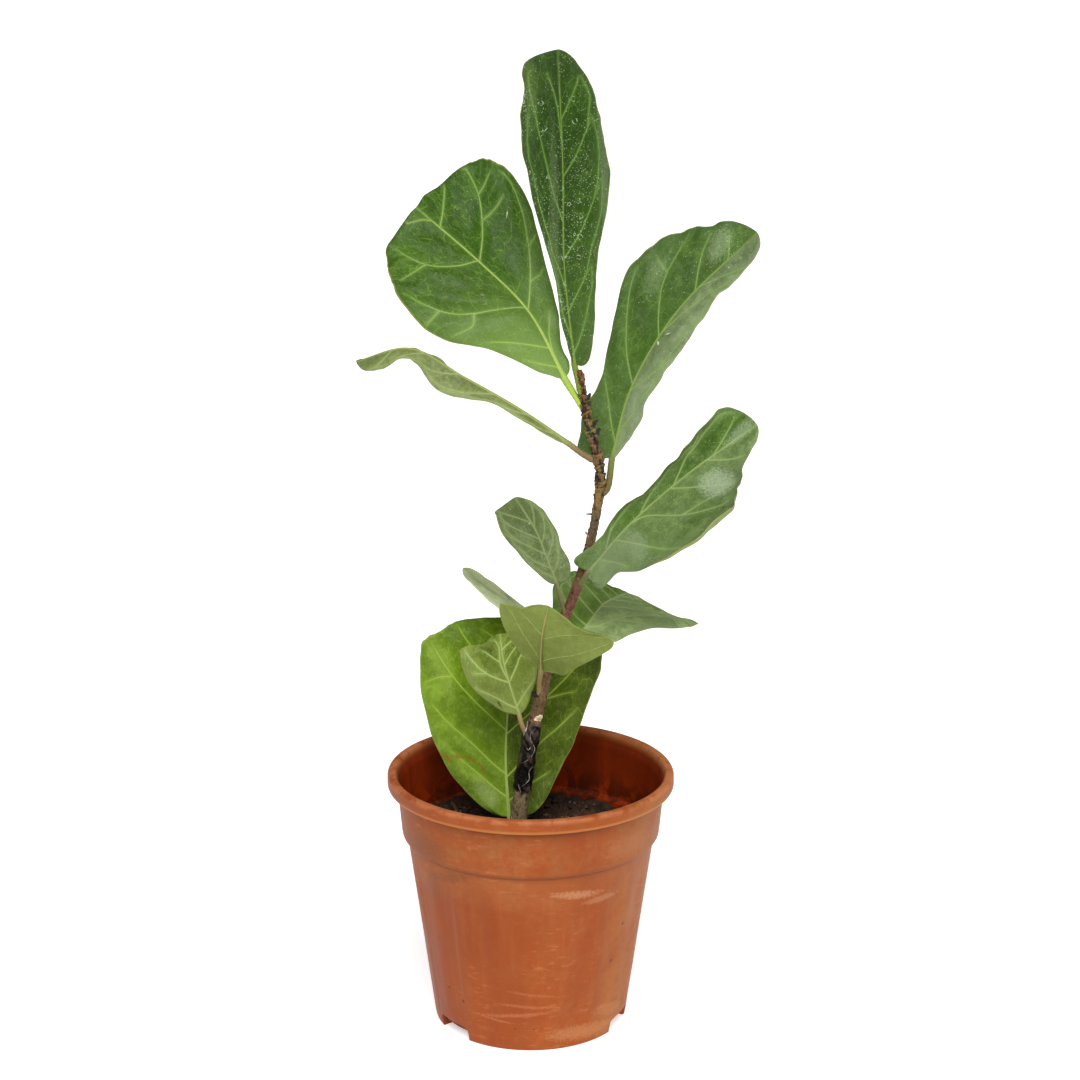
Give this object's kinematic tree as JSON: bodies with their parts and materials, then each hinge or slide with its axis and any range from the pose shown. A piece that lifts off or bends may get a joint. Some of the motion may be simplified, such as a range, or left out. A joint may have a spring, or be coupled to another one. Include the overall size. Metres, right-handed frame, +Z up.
{
  "type": "potted fiddle leaf fig",
  "caption": "Young fiddle leaf fig with large waved leaves on one woody stem, growing in a plain tapered nursery pot of soil.",
  "frame": {"origin": "middle of the pot's flat foot, on the surface that it stands on", "axes": "+Z up along the pot's axis, -Y to the front of the plant, +X to its right"},
  "size_m": [0.2309, 0.1755, 0.574],
  "materials": {
    "pot_plastic": "satin",
    "potting_soil": "matte",
    "bark": "matte",
    "leaf": "satin"
  },
  "bodies": {
    "root": {"pot": "pot_plastic", "soil": "potting_soil", "stem": "bark", "leaf_top_upright": "leaf", "leaf_upper_left": "leaf", "leaf_upper_right": "leaf", "leaf_left_spear": "leaf", "leaf_right_arched": "leaf", "leaf_mid_left": "leaf", "leaf_lower_right": "leaf", "leaf_left_strip": "leaf", "leaf_front": "leaf", "leaf_front_small": "leaf", "leaf_basal": "leaf"}
  },
  "joints": []
}
